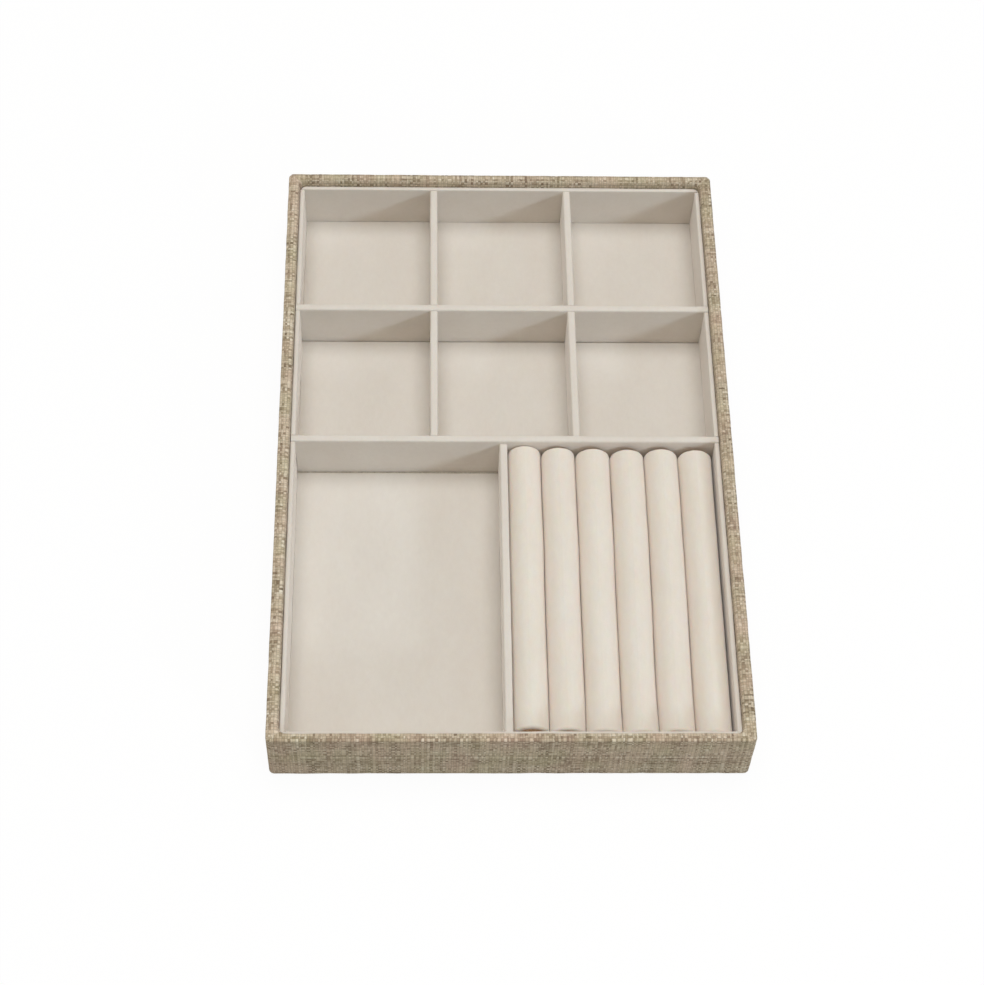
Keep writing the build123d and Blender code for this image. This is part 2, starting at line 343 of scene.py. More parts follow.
def pickOne(tree, factor, first, second):
    node = addNode(tree, "ShaderNodeMix", data_type="FLOAT")
    for index, value in ((0, factor), (2, first), (3, second)):  # its number sockets
        tree.links.new(value, node.inputs[index])
    return node.outputs[0]


def grey(tree, value):
    return addNode(tree, "ShaderNodeCombineColor", {0: value, 1: value, 2: value}).outputs[0]


def bend(tree, cloth, start, scale, detail, reach):
    # moves each place of the cloth's map by soft noise, up to reach
    inputs = {"Vector": cloth, "Scale": scale, "Detail": detail}
    drift = addNode(tree, "ShaderNodeTexNoise", inputs).outputs["Color"]
    inputs = {0: drift, 1: (0.5, 0.5, 0.5)}
    shift = addNode(tree, "ShaderNodeVectorMath", inputs, operation="SUBTRACT").outputs[0]
    inputs = {0: shift, 1: (2 * reach,) * 3, 2: start}
    return addNode(tree, "ShaderNodeVectorMath", inputs, operation="MULTIPLY_ADD").outputs[0]


def linenMaterial():
    # plain weave laid out on the cloth's own map, thread by thread, with painted shade in its gaps
    # and a painted highlight on its crests
    look = linenLook
    material, tree, shader = newMaterial("coarseLinen")
    cloth = addNode(tree, "ShaderNodeUVMap", uv_map="clothMap").outputs[0]
    bent = bend(tree, cloth, cloth, look["wanderScale"], 2.0, look["wander"])
    bent = bend(tree, cloth, bent, look["wobbleScale"], 1.0, look["wobble"])
    parts = addNode(tree, "ShaderNodeSeparateXYZ", {0: bent})
    warpSalts, weftSalts = look["warpSalts"], look["weftSalts"]
    warpIndex, warpBulge = threadsAcross(tree, parts.outputs[0], look["warpPitch"], warpSalts[0])
    weftIndex, weftBulge = threadsAcross(tree, parts.outputs[1], look["weftPitch"], weftSalts[0])
    parity = maths(tree, "FLOORED_MODULO", maths(tree, "ADD", warpIndex, weftIndex), 2.0)
    tone = pickOne(tree, parity, threadTone(tree, warpIndex, parts.outputs[1], warpSalts[1]),
                   threadTone(tree, weftIndex, parts.outputs[0], weftSalts[1]))
    crossing = addNode(tree, "ShaderNodeCombineXYZ", {0: warpIndex, 1: weftIndex}).outputs[0]
    inputs = {"Vector": crossing}
    nub = addNode(tree, "ShaderNodeTexWhiteNoise", inputs, noise_dimensions="2D").outputs["Value"]
    inputs = {0: maths(tree, "MULTIPLY_ADD", nub, *look["nubTone"]), 1: tone}
    tone = addNode(tree, "ShaderNodeMath", inputs, operation="ADD", use_clamp=True).outputs[0]
    colour = ramp(tree, tone, look["threads"])
    patch = noiseAt(tree, cloth, look["oliveScale"])
    share = remap(tree, patch, *look["oliveShare"])
    colour = blendColours(tree, share, colour, (*look["olive"], 1))
    patch = noiseAt(tree, stretched(tree, cloth, look["roseStretch"]), look["roseScale"])
    share = remap(tree, patch, *look["roseShare"])
    colour = blendColours(tree, share, colour, (*look["rose"], 1))
    # the thread on top stands highest at the middle of each crossing
    top = pickOne(tree, parity, maths(tree, "POWER", warpBulge, look["roundness"]),
                  maths(tree, "POWER", weftBulge, look["roundness"]))
    arch = maths(tree, "MULTIPLY", warpBulge, weftBulge)
    height = maths(tree, "MULTIPLY_ADD", arch, 0.5, maths(tree, "MULTIPLY", top, 0.5))
    fade = remap(tree, noiseAt(tree, cloth, look["gapScale"]), *look["gapFades"])
    over = maths(tree, "SUBTRACT", height, look["evenHeight"])
    height = maths(tree, "ADD", maths(tree, "MULTIPLY", over, fade), look["evenHeight"])
    # the weave's height painted into the colour: painted shade in the gaps, a painted highlight on
    # the crests
    shade = grey(tree, remap(tree, height, look["gapShade"], look["crestShade"]))
    colour = blendColours(tree, 1.0, colour, shade, "MULTIPLY")
    fuzz = noiseAt(tree, cloth, look["fuzzScale"])
    under = bumpFrom(tree, fuzz, look["fuzzDepth"], look["fuzzStrength"])
    slubs = maths(tree, "MULTIPLY_ADD", tone, look["slubRelief"], height)
    relief = bumpFrom(tree, slubs, look["relief"], look["reliefStrength"], under)
    finishShader(tree, shader, look, colour, height, relief)
    return material


velvetLook = {
    "colour": sRGB(227, 220, 211),
    "shade": sRGB(217, 208, 198),
    "sheen": 0.50,
    "glow": 0.10,  # how much light passes on through the pile
    "brush": (1.0, 0.55, 1.0),  # the pile's blotches are longer along Y
}
rollLook = {
    "colour": sRGB(239, 227, 217),
    "shade": sRGB(230, 216, 203),
    "sheen": 0.45,
    "glow": 0.35,
    "brush": (1.0, 0.4, 1.0),
}
pile = {  # what both velvets share
    "brushedScale": 38.0,  # the wide blotches where the pile lies another way
    "napScale": 420.0,
    "napShare": 0.35,
    "toothScale": 3600.0,
    "toothShade": (0.93, 1.07),
    "contrast": 1.7,
    "roughness": (0.98, 0.84),
    "gloss": 0.15,
    "sheenRoughness": 0.45,
    "sheenTint": (1.0, 0.97, 0.93, 1),
    "glowReach": (2.4 * mm, 1.1 * mm, 0.6 * mm),
    "napDepth": 0.10 * mm,
    "napStrength": 0.35,
    "toothDepth": 0.06 * mm,
    "toothStrength": 0.6,
}


def velvetMaterial(name, look):
    # short cut pile: soft blotches where it lies another way, and a fine tooth
    look = {**pile, **look}
    material, tree, shader = newMaterial(name)
    point = objectPoint(tree)
    along = stretched(tree, point, look["brush"])
    wide = noiseAt(tree, along, look["brushedScale"], detail=3.0, roughness=0.55)
    small = noiseAt(tree, along, look["napScale"], roughness=0.6)
    brushed = maths(tree, "MULTIPLY", wide, 1 - look["napShare"])
    nap = maths(tree, "MULTIPLY_ADD", small, look["napShare"], brushed)
    fine = noiseAt(tree, point, look["toothScale"], roughness=0.7)
    inputs = {0: maths(tree, "SUBTRACT", nap, 0.5), 1: look["contrast"], 2: 0.5}
    mixed = addNode(tree, "ShaderNodeMath", inputs, operation="MULTIPLY_ADD",
                    use_clamp=True).outputs[0]
    speck = grey(tree, remap(tree, fine, *look["toothShade"]))
    colour = blendColours(tree, mixed, (*look["shade"], 1), (*look["colour"], 1))
    colour = blendColours(tree, 1.0, colour, speck, "MULTIPLY")
    under = bumpFrom(tree, fine, look["toothDepth"], look["toothStrength"])
    relief = bumpFrom(tree, small, look["napDepth"], look["napStrength"], under)
    finishShader(tree, shader, look, colour, nap, relief)
    shader.inputs["Sheen Tint"].default_value = look["sheenTint"]
    shader.inputs["Subsurface Weight"].default_value = look["glow"]
    shader.inputs["Subsurface Radius"].default_value = look["glowReach"]
    shader.inputs["Subsurface Scale"].default_value = 1.0
    return material


boardLook = {
    "tones": ((0.30, sRGB(150, 143, 130)), (0.5, sRGB(181, 173, 158)), (0.68, sRGB(203, 196, 182))),
    "pulpScale": 260.0,
    "fibreScale": 1500.0,
    "fibreStretch": (1, 0.18, 1),
    "roughness": (0.95, 0.8),
    "gloss": 0.2,
    "relief": 0.12 * mm,
    "reliefStrength": 0.5,
}


def boardMaterial():
    # grey pulp board with darker flecks and short fibres
    look = boardLook
    material, tree, shader = newMaterial("greyBoard")
    point = objectPoint(tree)
    pulp = noiseAt(tree, point, look["pulpScale"], detail=4.0, roughness=0.65)
    along = stretched(tree, point, look["fibreStretch"])
    fibre = noiseAt(tree, along, look["fibreScale"], roughness=0.6)
    both = maths(tree, "MULTIPLY_ADD", fibre, 0.5, maths(tree, "MULTIPLY", pulp, 0.5))
    relief = bumpFrom(tree, both, look["relief"], look["reliefStrength"])
    finishShader(tree, shader, look, ramp(tree, both, look["tones"]), pulp, relief)
    return material


foamLook = {
    "tones": ((0.0, sRGB(247, 226, 200)), (0.45, sRGB(241, 209, 177)), (0.9, sRGB(208, 166, 130))),
    "warm": sRGB(236, 200, 164),
    "warmScale": 300.0,
    "warmShare": (-0.2, 0.7),
    "cellScale": 1500.0,
    "roughness": (0.85, 1.0),
    "gloss": 0.1,
    "relief": 0.25 * mm,
    "reliefStrength": 0.8,
}


def foamMaterial():
    # open cells on the cut end of the strip, with painted shade in their hollows
    look = foamLook
    material, tree, shader = newMaterial("openFoam")
    point = objectPoint(tree)
    inputs = {"Vector": point, "Scale": look["cellScale"]}
    cells = addNode(tree, "ShaderNodeTexVoronoi", inputs).outputs["Distance"]
    patch = noiseAt(tree, point, look["warmScale"], detail=3.0)
    share = remap(tree, patch, *look["warmShare"])
    # the cells' tones darken where the relief is lowest: painted shade in the hollows, under random
    # warm patches
    colour = blendColours(tree, share, ramp(tree, cells, look["tones"]), (*look["warm"], 1))
    height = maths(tree, "SUBTRACT", 1.0, cells)
    relief = bumpFrom(tree, height, look["relief"], look["reliefStrength"])
    finishShader(tree, shader, look, colour, cells, relief)
    return material


feltLook = {
    "tones": ((0.35, sRGB(88, 84, 80)), (0.52, sRGB(110, 106, 101)), (0.7, sRGB(140, 135, 128))),
    "fibreScale": 900.0,
    "fibreStretches": ((1, 0.12, 1), (0.12, 1, 1)),
    "fibreShare": 0.6,
    "cloudScale": 70.0,
    "cloudShare": 0.4,
    "roughness": (1.0, 0.85),
    "gloss": 0.1,
    "sheen": 0.25,
    "sheenRoughness": 0.5,
    "relief": 0.2 * mm,
    "reliefStrength": 0.7,
}


def feltMaterial():
    # pressed fibres that lie every way, with painted shade in the hollows and soft random clouds of
    # tone
    look = feltLook
    material, tree, shader = newMaterial("baseFelt")
    point = objectPoint(tree)
    crossed = [noiseAt(tree, stretched(tree, point, stretch), look["fibreScale"], detail=3.0,
                       roughness=0.7) for stretch in look["fibreStretches"]]
    fibres = maths(tree, "MAXIMUM", *crossed)
    cloud = noiseAt(tree, point, look["cloudScale"], detail=3.0)
    # low fibres come out darker, painted shade in the hollows; the clouds are random tone
    both = maths(tree, "MULTIPLY_ADD", cloud, look["cloudShare"],
                 maths(tree, "MULTIPLY", fibres, look["fibreShare"]))
    relief = bumpFrom(tree, fibres, look["relief"], look["reliefStrength"])
    finishShader(tree, shader, look, ramp(tree, both, look["tones"]), fibres, relief)
    return material


linen = linenMaterial()
velvet = velvetMaterial("liningVelvet", velvetLook)
rollVelvet = velvetMaterial("rollVelvet", rollLook)
board = boardMaterial()
foam = foamMaterial()
felt = feltMaterial()
print("materials are made")


# Modelling steps


def deselectAll():
    if bpy.context.mode != "OBJECT":
        bpy.ops.object.mode_set(mode="OBJECT")
    bpy.ops.object.select_all(action="DESELECT")


def makeActive(piece):
    deselectAll()
    piece.select_set(True)
    bpy.context.view_layer.objects.active = piece


def addBlock(name, low, high):
    # a cube between two corners, with its place in its mesh
    deselectAll()
    low, high = Vector(low), Vector(high)
    bpy.ops.mesh.primitive_cube_add(size=1, location=(low + high) / 2, scale=high - low)
    piece = bpy.context.active_object
    bpy.ops.object.transform_apply(location=True, rotation=True, scale=True)
    piece.name = name
    piece.data.name = name
    return piece


def startEdit(piece):
    makeActive(piece)
    bpy.ops.object.mode_set(mode="EDIT")
    bpy.ops.mesh.select_all(action="DESELECT")


def endEdit():
    bpy.ops.object.mode_set(mode="OBJECT")


def pick(piece, kind, test):
    # selects what passes the test: points by place, edges by both ends, faces by middle and normal
    bpy.ops.mesh.select_all(action="DESELECT")
    bpy.ops.mesh.select_mode(type=kind)
    mesh = bmesh.from_edit_mesh(piece.data)
    if kind == "VERT":
        chosen = [v for v in mesh.verts if test(v.co)]
    elif kind == "EDGE":
        chosen = [e for e in mesh.edges if test(e.verts[0].co, e.verts[1].co)]
    else:
        chosen = [f for f in mesh.faces if test(f.calc_center_median(), f.normal)]
    for item in chosen:
        item.select_set(True)
    bmesh.update_edit_mesh(piece.data)
    return len(chosen)


def removeFaces(piece, test):
    if pick(piece, "FACE", test):
        bpy.ops.mesh.delete(type="FACE")


def bevelEdges(piece, test, radius, segments):
    if pick(piece, "EDGE", test):
        bpy.ops.mesh.bevel(offset=radius, segments=segments, profile=0.5, affect="EDGES",
                           clamp_overlap=False)


def cutAt(piece, axis, places):
    # cuts the whole piece across one axis, so that it can bend there
    normal = [0, 0, 0]
    normal[axis] = 1
    for place in places:
        centre = [0, 0, 0]
        centre[axis] = place
        bpy.ops.mesh.select_all(action="SELECT")
        bpy.ops.mesh.bisect(plane_co=centre, plane_no=normal)


def evenCuts(low, high, spacing):
    count = max(1, ceil((high - low) / spacing))
    return [low + (high - low) * index / count for index in range(1, count)]


def onPlane(value, place):
    return abs(value - place) < hair


def thicken(piece, thickness):
    # the cloth's thickness goes inwards from the modelled face
    modifier = piece.modifiers.new("clothThickness", "SOLIDIFY")
    modifier.thickness = thickness
    modifier.offset = -1
    modifier.use_even_offset = True
    modifier.use_rim = True
    makeActive(piece)
    bpy.ops.object.modifier_apply(modifier=modifier.name)


def waver(piece, waves, salt):
    # moves each point along its normal by soft noise, so that no face is dead flat, and the salt
    # gives each piece a part of the noise of its own
    mesh = piece.data
    moves = []
    for vertex in mesh.vertices:
        push = 0
        for size, height in waves:
            place = vertex.co / size + Vector((salt, 2.3 * salt, -1.7 * salt))
            push += height * noise.noise(place)
        moves.append(vertex.normal * push)
    for vertex, move in zip(mesh.vertices, moves):
        vertex.co += move
    mesh.update()


def shadeSoftly(piece, sharpAngle=38):
    makeActive(piece)
    bpy.ops.object.shade_smooth_by_angle(angle=radians(sharpAngle))


def handOver(piece, material, body, node):
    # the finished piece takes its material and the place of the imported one
    piece.data.materials.clear()
    piece.data.materials.append(material)
    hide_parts(node)
    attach(piece, body)


# The linen cover

linenCover = {
    "thickness": 0.5 * mm,
    "cornerRadius": 2.5 * mm,
    "innerCornerRadius": 3.5 * mm,
    "sideRim": 6.0 * mm,
    "endRim": 5.0 * mm,
    "rimOuterRadius": 1.2 * mm,
    "rimInnerRadius": 2.1 * mm,
    "footRadius": 1.6 * mm,
    "flapDepth": 17.0 * mm,
    "turnIn": 20.0 * mm,
    "cornerReach": 1.2,  # in corner radii: which points belong to a corner of the opening
    "cornerSteps": 6,
    "outerSteps": 5,
    "innerSteps": 4,
    "footSteps": 4,
    "grid": 3.0 * mm,
    "waves": ((9 * mm, 0.16 * mm), (3 * mm, 0.07 * mm)),
    "waveSalt": 3.1,
    "mitreWidth": 0.7 * mm,
    "mitreDepth": 0.22 * mm,
    "mitreReach": 1.2,  # in rim widths: the fold ends a little past the rim's inner edge
    "mitreDrop": 9.0 * mm,  # how far down the wall the fold shows
    "mitreZone": 14.0 * mm,  # how far from a corner the cuts for it go
    "mitreSlope": 3.8 * mm,  # turns the two rims' shares into a distance from the fold
    "mapShift": (0.61, 0.23),  # sets each wall's part of the cloth's map apart from the others
}


def fromOutline(point, half, corner):
    # how far inside a rounded rectangle a point lies
    x = abs(point.x) - (half.x - corner)
    y = abs(point.y) - (half.y - corner)
    if x > 0 and y > 0:
        return corner - Vector((x, y)).length
    return corner - max(x, y)


def shapeLinen(values, low, high):
    half = Vector((high.x, high.y))
    inner = Vector((high.x - values["sideRim"], high.y - values["endRim"]))
    top, bottom = high.z, low.z
    piece = addBlock("linenCover", low, high)
    startEdit(piece)
    upright = lambda a, b: abs(a.z - b.z) > hair
    bevelEdges(piece, upright, values["cornerRadius"], values["cornerSteps"])
    # the rim: the top face drawn in to the opening, and its corners made tighter
    pick(piece, "FACE", lambda middle, normal: normal.z > facing)
    bpy.ops.mesh.extrude_region_move()
    drawIn = (inner.x / half.x, inner.y / half.y, 1)
    bpy.ops.transform.resize(value=drawIn, center_override=(0, 0, top))
    tighter = values["innerCornerRadius"] / values["cornerRadius"] * half.x / inner.x
    for side in (-1, 1):
        for end in (-1, 1):
            corner = Vector((side * inner.x, end * inner.y, top))

            def nearCorner(point):
                inside = abs(point.x) < inner.x + hair and abs(point.y) < inner.y + hair
                near = (point - corner).length < values["cornerReach"] * values["cornerRadius"]
                return inside and near and point.z > top - hair
            pick(piece, "VERT", nearCorner)
            bpy.ops.transform.resize(value=(tighter, tighter, 1), center_override=corner)
    # down inside, and in under the base
    pick(piece, "FACE", lambda middle, normal: normal.z > facing and middle.xy.length < hair)
    bpy.ops.mesh.extrude_region_move(TRANSFORM_OT_translate={"value": (0, 0, -values["flapDepth"])})
    bpy.ops.mesh.delete(type="FACE")
    pick(piece, "FACE", lambda middle, normal: normal.z < -facing)
    bpy.ops.mesh.extrude_region_move()
    window = half - Vector((values["turnIn"], values["turnIn"]))
    drawIn = (window.x / half.x, window.y / half.y, 1)
    bpy.ops.transform.resize(value=drawIn, center_override=(0, 0, bottom))
    bpy.ops.mesh.delete(type="FACE")

    def onOuter(a, b, height):
        return all(onPlane(p.z, height) and abs(fromOutline(p, half, values["cornerRadius"])) < hair
                   for p in (a, b))

    def onInner(a, b):
        return all(onPlane(p.z, top) and abs(p.x) < inner.x + hair and abs(p.y) < inner.y + hair
                   for p in (a, b))
    isRim = lambda a, b: onOuter(a, b, top)
    bevelEdges(piece, isRim, values["rimOuterRadius"], values["outerSteps"])
    bevelEdges(piece, onInner, values["rimInnerRadius"], values["innerSteps"])
    isFoot = lambda a, b: onOuter(a, b, bottom)
    bevelEdges(piece, isFoot, values["footRadius"], values["footSteps"])
    # cuts for the weave's unevenness
    cutAt(piece, 0, evenCuts(low.x, high.x, values["grid"]))
    cutAt(piece, 1, evenCuts(low.y, high.y, values["grid"]))
    wall = (low.z + values["footRadius"], top - values["rimOuterRadius"])
    cutAt(piece, 2, evenCuts(*wall, values["grid"]))
    # three cuts along each mitre at the corners, for the fold in the cloth
    for side in (-1, 1):
        for end in (-1, 1):
            across = Vector((side * values["endRim"], -end * values["sideRim"], 0)).normalized()
            corner = Vector((side * half.x, end * half.y, top))
            inZone = lambda middle, normal: (middle - corner).length < values["mitreZone"]
            for step in (-1, 0, 1):
                pick(piece, "FACE", inZone)
                centre = corner + across * step * values["mitreWidth"]
                bpy.ops.mesh.bisect(plane_co=centre, plane_no=across)
    bpy.ops.mesh.select_all(action="SELECT")
    bpy.ops.mesh.remove_doubles(threshold=sameSpot)
    endEdit()
    return piece


def mapCloth(piece, values, low, high):
    # lays the cloth out flat, in metres: along each wall, and around its section
    half = Vector((high.x, high.y))
    outer, inner, foot = values["rimOuterRadius"], values["rimInnerRadius"], values["footRadius"]
    wallRise = high.z - outer - low.z - foot
    flat = 6 * hair  # how near to a flat part of the cloth a point has to be
    mesh = piece.data
    layer = mesh.uv_layers.new(name="clothMap")

    def around(point, isSide):
        rim = values["sideRim"] if isSide else values["endRim"]
        across = half.x - abs(point.x) if isSide else half.y - abs(point.y)
        down = high.z - point.z
        up = point.z - low.z
        overRim = wallRise + outer * pi / 2 + rim - outer - inner
        if down < outer and across < outer:
            return wallRise + outer * atan2(outer - down, outer - across)
        if down < inner and across > rim - inner:
            return overRim + inner * atan2(across - rim + inner, inner - down)
        if down < flat:
            return wallRise + outer * pi / 2 + across - outer
        if across > rim - flat and down < values["flapDepth"] + hair:
            return overRim + inner * pi / 2 + down - inner
        if up < foot and across < foot:
            return -foot * atan2(foot - up, foot - across)
        if up < flat:
            return -foot * pi / 2 - across + foot
        return up - foot

    shiftAlong, shiftAround = values["mapShift"]
    for face in mesh.polygons:
        middle = face.center
        fromSide = (half.x - abs(middle.x)) / values["sideRim"]
        fromEnd = (half.y - abs(middle.y)) / values["endRim"]
        isSide = fromSide < fromEnd
        which = (middle.x > 0) if isSide else 2 + (middle.y > 0)
        for loop in face.loop_indices:
            point = mesh.vertices[mesh.loops[loop].vertex_index].co
            along = point.y if isSide else point.x
            up = around(point, isSide)
            layer.data[loop].uv = (along + shiftAlong * which, up + shiftAround * which)


def creaseMitres(piece, values, high):
    # presses the cloth in along the fold at each corner
    for vertex in piece.data.vertices:
        point = vertex.co
        fromSide = (high.x - abs(point.x)) / values["sideRim"]
        fromEnd = (high.y - abs(point.y)) / values["endRim"]
        off = abs(fromSide - fromEnd) * values["mitreSlope"]
        onFold = off < values["mitreWidth"] and fromSide < values["mitreReach"]
        if onFold and high.z - point.z < values["mitreDrop"]:
            point -= vertex.normal * values["mitreDepth"] * (1 - off / values["mitreWidth"])


def makeLinenCover():
    low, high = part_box("linen_cover")
    values = linenCover
    piece = shapeLinen(values, low, high)
    mapCloth(piece, values, low, high)
    creaseMitres(piece, values, high)
    waver(piece, values["waves"], values["waveSalt"])
    thicken(piece, values["thickness"])
    shadeSoftly(piece)
    handOver(piece, linen, "tray", "linen_cover")


makeLinenCover()
print("linen cover is on")


# Velvet over the liners and dividers

velvetCovers = {
    "thickness": 0.4 * mm,
    "turnover": 12.0 * mm,  # how far it comes down behind a liner
    "lapHeight": 18.15 * mm,
    "lapClearance": 0.1 * mm,
    "linerRadius": 0.7 * mm,
    "linerCorner": 3.2 * mm,  # upright, at both ends of the front and rear liners
    "cornerSteps": 6,
    "topSteps": 5,
    "cutEnds": 0.2 * mm,  # how near points left by a cut across a corner are merged
    "backSpread": 0.18 * mm,  # how far the turned-down velvet fills the seam to the linen
    "dividerRadius": 1.0 * mm,
    "grid": 4.0 * mm,
    "waves": ((16 * mm, 0.16 * mm), (5 * mm, 0.05 * mm)),
}


def cornerBlock(name, low, high, across, back, cornerRadius, topRadius):
    # made deeper than it is, for upright corners rounder than its thickness, and then cut to size
    values = velvetCovers
    low, high = low.copy(), high.copy()
    inside = low[across] if back > 0 else high[across]
    (low if back > 0 else high)[across] -= back * 2 * cornerRadius
    high.z -= topRadius
    piece = addBlock(name, low, high)
    startEdit(piece)
    isBackCorner = lambda a, b: abs(a.z - b.z) > hair and (a[across] - inside) * back > 0
    bevelEdges(piece, isBackCorner, cornerRadius, values["cornerSteps"])
    centre, normal = [0, 0, 0], [0, 0, 0]
    centre[across], normal[across] = inside, back
    bpy.ops.mesh.select_all(action="SELECT")
    bpy.ops.mesh.bisect(plane_co=centre, plane_no=normal, use_fill=True, clear_inner=True)
    bpy.ops.mesh.select_all(action="SELECT")
    bpy.ops.mesh.remove_doubles(threshold=values["cutEnds"])
    # the top face is drawn in and up, step by step, to a quarter round all the way round
    pick(piece, "FACE", lambda middle, normal: normal.z > facing)
    steps = values["topSteps"]
    for step in range(steps):
        start, end = (radians(90 * part / steps) for part in (step, step + 1))
        inwards, up = cos(start) - cos(end), sin(end) - sin(start)
        bpy.ops.mesh.inset(thickness=topRadius * inwards, depth=topRadius * up)
    return piece


def coverBoard(name, node, along, radius, salt, ends=False, back=None, corner=None,
               slotsAbove=(), slotsBelow=(), ears=None):
    # folded velvet over a board: along is its long axis, and back the side that faces the linen
    values = velvetCovers
    low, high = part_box(node)
    across = 1 - along
    if back:
        (high if back > 0 else low)[across] += back * values["backSpread"]
    lap = values["lapHeight"]
    if corner:
        piece = cornerBlock(name, low, high, across, back, corner, radius)
    else:
        piece = addBlock(name, low, high)
        startEdit(piece)
    removeFaces(piece, lambda middle, normal: normal.z < -facing)
    if not ends:
        removeFaces(piece, lambda middle, normal: abs(normal[along]) > facing)
    if not corner:
        isTop = lambda a, b: onPlane(a.z, high.z) and onPlane(b.z, high.z)
        isLong = lambda a, b: abs(a[along] - b[along]) > hair
        bevelEdges(piece, lambda a, b: isTop(a, b) and isLong(a, b), radius, values["topSteps"])
    cutAt(piece, along, evenCuts(low[along], high[along], values["grid"]))
    cutAt(piece, 2, evenCuts(low.z, high.z - radius, values["grid"]))
    for start, end in (*slotsAbove, *slotsBelow):
        cutAt(piece, along, (start, end))
    if slotsAbove or slotsBelow or ears:
        cutAt(piece, 2, (lap,))
    for start, end in slotsAbove:
        removeFaces(piece, lambda middle, normal: start < middle[along] < end and middle.z > lap)
    for start, end in slotsBelow:
        removeFaces(piece, lambda middle, normal: start < middle[along] < end and middle.z < lap)
    if ears:
        cutAt(piece, along, (-ears, ears))
        removeFaces(piece, lambda middle, normal: abs(middle[along]) > ears and middle.z < lap)
    if back:
        turned = high.z - values["turnover"]
        cutAt(piece, 2, (turned,))
        isBehind = lambda middle, normal: normal[across] * back > facing and middle.z < turned
        removeFaces(piece, isBehind)
    bpy.ops.mesh.select_all(action="SELECT")
    bpy.ops.mesh.remove_doubles(threshold=sameSpot)
    endEdit()
    waver(piece, values["waves"], salt)
    thicken(piece, values["thickness"])
    shadeSoftly(piece)
    handOver(piece, velvet, "tray", node)


def spanOf(node, axis, spare):
    low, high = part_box(node)
    return low[axis] - spare, high[axis] + spare


def coverTheWalls():
    values = velvetCovers
    spare = values["lapClearance"]
    crossings = [spanOf(f"{row}_cross_divider_velvet", 1, spare) for row in ("rear", "front")]
    longs = [spanOf(f"{side}_long_divider_velvet", 0, spare) for side in ("left", "right")]
    liner, divider = values["linerRadius"], values["dividerRadius"]
    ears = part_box("right_liner_velvet")[0].x - spare
    corner = values["linerCorner"]
    for side, back, salt in (("left", -1, 1.3), ("right", 1, 2.9)):
        coverBoard(f"{side}LinerCover", f"{side}_liner_velvet", 1, liner, salt, back=back,
                   slotsAbove=crossings)
    for end, back, salt in (("front", -1, 4.1), ("rear", 1, 5.7)):
        coverBoard(f"{end}LinerCover", f"{end}_liner_velvet", 0, liner, salt, ends=True, back=back,
                   corner=corner)
    for row, salt, slots in (("rear", 6.4, longs), ("front", 7.9, ())):
        coverBoard(f"{row}CrossCover", f"{row}_cross_divider_velvet", 0, divider, salt, ends=True,
                   slotsBelow=slots, ears=ears)
    for side, salt in (("left", 8.2), ("right", 9.6)):
        coverBoard(f"{side}LongCover", f"{side}_long_divider_velvet", 1, divider, salt,
                   slotsAbove=crossings[:1])
    coverBoard("sectionCover", "section_divider_velvet", 1, divider, 11.2)


coverTheWalls()
print("liners and dividers are covered")


# Velvet over the floor cards

floorCovers = {
    "thickness": 0.3 * mm,
    "edgeRadius": 0.12 * mm,
    "edgeSteps": 3,
    "openRadius": 0.7 * mm,  # behind, where the floor stands clear of the wall
    "openSteps": 4,
    "spread": 0.28 * mm,  # how far the pile reaches out to the walls
    "grid": 5.0 * mm,
    "waves": ((22 * mm, 0.10 * mm), (6 * mm, 0.03 * mm)),
    "waveSalts": (20.5, 1.7),  # the first floor's, and what each next one adds
    "wrinkleHeight": 0.22 * mm,
    "wrinkleReach": 6.0 * mm,
    "wrinkleEnd": 3,  # in reaches from the rear edge, where nothing is left of them
    "wrinkleRise": 3,  # they start from nothing at the edge, in a third of a reach
    "wrinkleLength": 19.0 * mm,
    "wrinkleCuts": (1.2 * mm, 4),  # their spacing from the rear edge, and how many
    "wrinkleSalt": 4.4,
}
floorNames = ["large", "ring_bay"] + [f"{row}_{side}" for row in ("rear", "second")
                                      for side in ("left", "centre", "right")]


def coverFloor(name, node, salt, isOpenBehind, isWrinkled):
    values = floorCovers
    low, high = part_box(node)
    out = values["spread"]
    low -= Vector((out, out, 0))
    high += Vector((out, 0 if isOpenBehind else out, 0))
    piece = addBlock(name, low, high)
    startEdit(piece)
    removeFaces(piece, lambda middle, normal: normal.z < -facing)
    onTop = lambda a, b: onPlane(a.z, high.z) and onPlane(b.z, high.z)
    isRear = lambda a, b: onTop(a, b) and onPlane(a.y, high.y) and onPlane(b.y, high.y)
    if isOpenBehind:
        bevelEdges(piece, isRear, values["openRadius"], values["openSteps"])
    isSide = lambda a, b: onTop(a, b) and not onPlane(a.y, b.y)
    bevelEdges(piece, isSide, values["edgeRadius"], values["edgeSteps"])
    for axis in (0, 1):
        cutAt(piece, axis, evenCuts(low[axis], high[axis], values["grid"]))
    if isWrinkled:
        spacing, cuts = values["wrinkleCuts"]
        cutAt(piece, 1, [high.y - (step + 1) * spacing for step in range(cuts)])
    endEdit()
    waver(piece, values["waves"], salt)
    if isWrinkled:
        for vertex in piece.data.vertices:
            back = (high.y - vertex.co.y) / values["wrinkleReach"]
            if vertex.co.z > high.z - values["edgeRadius"] and back < values["wrinkleEnd"]:
                along = vertex.co.x / values["wrinkleLength"]
                wave = noise.noise(Vector((along, values["wrinkleSalt"], 0)))
                fade = exp(-back * back) * min(1, values["wrinkleRise"] * back)
                vertex.co.z += values["wrinkleHeight"] * wave * fade
    thicken(piece, values["thickness"])
    shadeSoftly(piece)
    handOver(piece, velvet, "tray", node)


